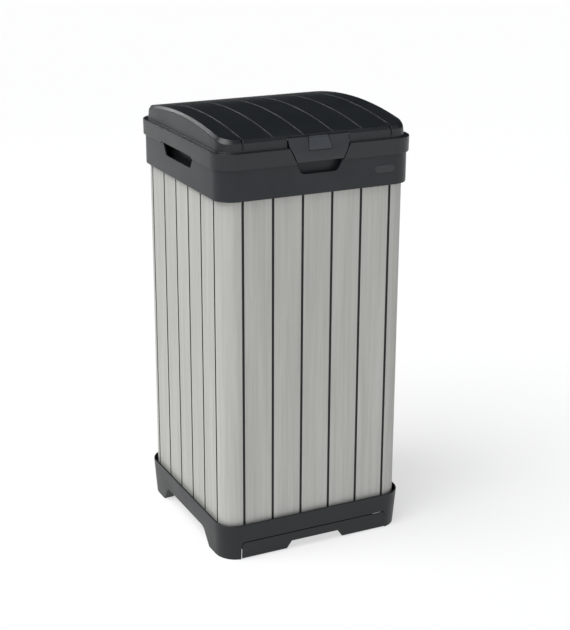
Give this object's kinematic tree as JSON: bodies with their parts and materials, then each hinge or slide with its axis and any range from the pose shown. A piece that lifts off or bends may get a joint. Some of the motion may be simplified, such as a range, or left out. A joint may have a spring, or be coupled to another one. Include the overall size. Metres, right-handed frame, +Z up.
{
  "type": "litter bin",
  "caption": "Square outdoor litter bin with grooved plank walls, a dark base with a slide-out drip tray, and a hinged arched lid with a push-button latch.",
  "frame": {"origin": "on the floor under the middle of the bin", "axes": "+Z up, the front with the latch faces -Y, +X to the right seen from the front"},
  "size_m": [0.4136, 0.4238, 0.8632],
  "materials": {
    "wall_resin": "matt, fine vertical wood grain",
    "base_resin": "satin, fine moulded texture",
    "collar_resin": "satin, fine moulded texture",
    "lid_resin": "satin, fine moulded texture",
    "latch_resin": "satin",
    "badge_resin": "semi-gloss, plain",
    "steel": "bright zinc"
  },
  "bodies": {
    "bin": {"base": "base_resin", "floor_pan": "base_resin", "wall_front": "wall_resin", "wall_back": "wall_resin", "wall_left": "wall_resin", "wall_right": "wall_resin", "collar": "collar_resin", "badge_plate": "badge_resin", "tray_runner_left": "base_resin", "tray_runner_right": "base_resin", "base_screw_front_left": "steel", "base_screw_front_right": "steel", "base_screw_back_left": "steel", "base_screw_back_right": "steel", "hinge_pin_left": "steel", "hinge_pin_right": "steel"},
    "lid": {"lid_shell": "lid_resin", "latch_pin_left": "steel", "latch_pin_right": "steel"},
    "latch": {"latch_flap": "latch_resin", "button_spring": "steel"},
    "button": {"release_button": "latch_resin"},
    "ring": {"bag_ring": "base_resin"},
    "tray": {"drip_tray": "base_resin"}
  },
  "joints": [
    {"name": "lid_hinge", "type": "hinge", "parent": "bin", "child": "lid", "pos_m": [0, 0.2108, 0.783], "axis": [-1, 0, 0], "range_deg": [0, 100]},
    {"name": "latch_hinge", "type": "hinge", "parent": "lid", "child": "latch", "pos_m": [0, -0.1933, 0.83735], "axis": [-1, 0, 0], "range_deg": [0, 25], "stiffness_Nm_per_rad": 0.05, "springref_deg": -11.46},
    {"name": "button_press", "type": "slide", "parent": "latch", "child": "button", "axis": [0, 0.91, -0.4147], "range_m": [0, 0.0024], "stiffness_N_per_m": 300, "springref_m": -0.002, "deforming": ["button_spring"]},
    {"name": "ring_lift", "type": "slide", "parent": "bin", "child": "ring", "axis": [0, 0, 1], "range_m": [0, 0.014]},
    {"name": "tray_slide", "type": "slide", "parent": "bin", "child": "tray", "axis": [0, -1, 0], "range_m": [0, 0.34]}
  ]
}
